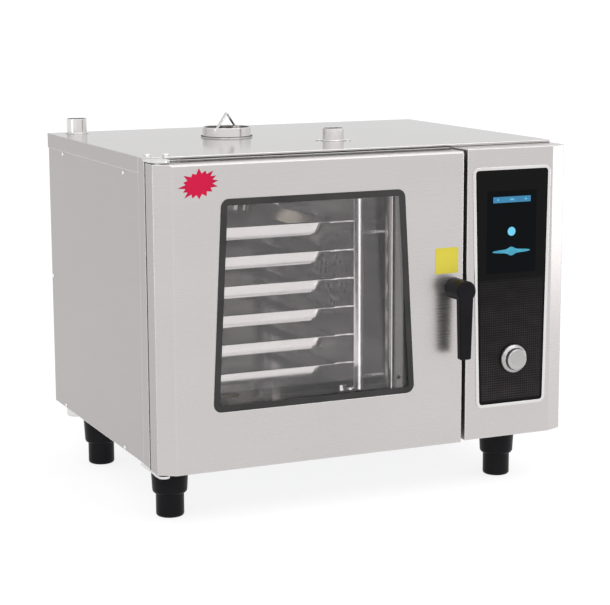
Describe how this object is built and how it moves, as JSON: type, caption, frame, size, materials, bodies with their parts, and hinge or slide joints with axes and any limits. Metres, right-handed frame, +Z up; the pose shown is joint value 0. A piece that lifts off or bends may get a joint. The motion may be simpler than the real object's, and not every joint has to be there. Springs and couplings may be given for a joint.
{
  "type": "combi steamer oven",
  "caption": "Table-top stainless steel combi steamer oven with a hinged glass door, lever handle, touch control panel with dial, tray racks and adjustable feet.",
  "frame": {"origin": "on the floor, midway between the sides and midway between the handle front and the water inlet ends", "axes": "+Z up, -Y towards the door side (front), +X to the right as seen from the front"},
  "size_m": [0.9922, 0.868, 0.845],
  "materials": {
    "brushed_stainless": "fine vertical brush, satin",
    "bright_stainless": "polished, faint brush",
    "chamber_stainless": "bright-rolled sheet",
    "rack_wire": "electropolished",
    "galvanised_sheet": "zinc coated",
    "mineral_wool": "fibrous",
    "silicone_seal": "matt",
    "window_border": "satin dark grey",
    "clear_glass": "clear toughened",
    "black_glass": "back-painted, with a fine weave pattern",
    "display_glass": "lit display",
    "circuit_board": "solder mask",
    "black_plastic": "fine grain",
    "white_plastic": "moulded",
    "silver_dial": "satin anodised",
    "motor_casting": "as cast",
    "lamp_glass": "frosted",
    "bush_brass": "machined",
    "heater_sheath": "oxidised steel sheath",
    "red_vinyl": "printed film",
    "yellow_vinyl": "printed film"
  },
  "bodies": {
    "cabinet": {"base_pan": "galvanised_sheet", "top_cover": "brushed_stainless", "left_side_panel": "brushed_stainless", "right_side_panel": "brushed_stainless", "rear_panel": "brushed_stainless", "front_frame": "brushed_stainless", "cavity_liner": "chamber_stainless", "cavity_insulation": "mineral_wool", "cavity_gasket": "silicone_seal", "air_baffle": "chamber_stainless", "rack_left": "rack_wire", "rack_right": "rack_wire", "tray_1": "bright_stainless", "tray_2": "bright_stainless", "tray_3": "bright_stainless", "tray_4": "bright_stainless", "tray_5": "bright_stainless", "tray_6": "bright_stainless", "cavity_lamp": "lamp_glass", "steam_injector": "rack_wire", "heating_element": "heater_sheath", "fan_motor": "motor_casting", "control_panel": "brushed_stainless", "panel_bezel": "bright_stainless", "control_glass": "black_glass", "touch_display": "display_glass", "control_board": "circuit_board", "cable_gland": "black_plastic", "water_valve": "white_plastic", "drain_pipe": "bright_stainless", "vent_pipe_rear": "bright_stainless", "vent_pipe_middle": "bright_stainless", "exhaust_collar": "bright_stainless", "collar_bracket": "bright_stainless", "upper_hinge_plate": "bright_stainless", "lower_hinge_plate": "bright_stainless", "hinge_bolts": "rack_wire", "hinge_pins": "rack_wire", "door_striker": "rack_wire", "panel_screws": "rack_wire", "foot_sleeves": "black_plastic"},
    "door": {"hinge_bushes": "bush_brass", "door_shell": "brushed_stainless", "door_inner_pan": "chamber_stainless", "door_outer_glass": "clear_glass", "window_seal": "window_border", "door_inner_glass": "clear_glass", "burst_sticker": "red_vinyl", "square_label": "yellow_vinyl"},
    "handle": {"handle_hub": "black_plastic", "handle_lever": "black_plastic", "latch_spindle": "rack_wire"},
    "dial_switch": {"dial_plunger": "rack_wire"},
    "dial": {"dial_knob": "silver_dial"},
    "fan": {"fan_wheel": "chamber_stainless", "fan_shaft": "rack_wire"},
    "foot_front_left": {"foot_front_left": "black_plastic"},
    "foot_front_right": {"foot_front_right": "black_plastic"},
    "foot_rear_left": {"foot_rear_left": "black_plastic"},
    "foot_rear_right": {"foot_rear_right": "black_plastic"}
  },
  "joints": [
    {"name": "door_hinge", "type": "hinge", "parent": "cabinet", "child": "door", "pos_m": [-0.475, -0.332, 0.45], "axis": [0, 0, 1], "range_deg": [-115, 0]},
    {"name": "handle_turn", "type": "hinge", "parent": "door", "child": "handle", "pos_m": [0.205, -0.3755, 0.474], "axis": [0, 1, 0], "range_deg": [0, 90]},
    {"name": "dial_push", "type": "slide", "parent": "cabinet", "child": "dial_switch", "axis": [0, 1, 0], "range_m": [0, 0.0015], "stiffness_N_per_m": 800, "springref_m": -0.001},
    {"name": "dial_turn", "type": "hinge", "parent": "dial_switch", "child": "dial", "pos_m": [0.357, -0.38, 0.301], "axis": [0, 1, 0], "continuous": true},
    {"name": "fan_spin", "type": "hinge", "parent": "cabinet", "child": "fan", "pos_m": [0.125, 0.004, 0.46], "axis": [1, 0, 0], "continuous": true},
    {"name": "foot_front_left_adjust", "type": "slide", "parent": "cabinet", "child": "foot_front_left", "axis": [0, 0, -1], "range_m": [0, 0.025]},
    {"name": "foot_front_right_adjust", "type": "slide", "parent": "cabinet", "child": "foot_front_right", "axis": [0, 0, -1], "range_m": [0, 0.025]},
    {"name": "foot_rear_left_adjust", "type": "slide", "parent": "cabinet", "child": "foot_rear_left", "axis": [0, 0, -1], "range_m": [0, 0.025]},
    {"name": "foot_rear_right_adjust", "type": "slide", "parent": "cabinet", "child": "foot_rear_right", "axis": [0, 0, -1], "range_m": [0, 0.025]}
  ]
}
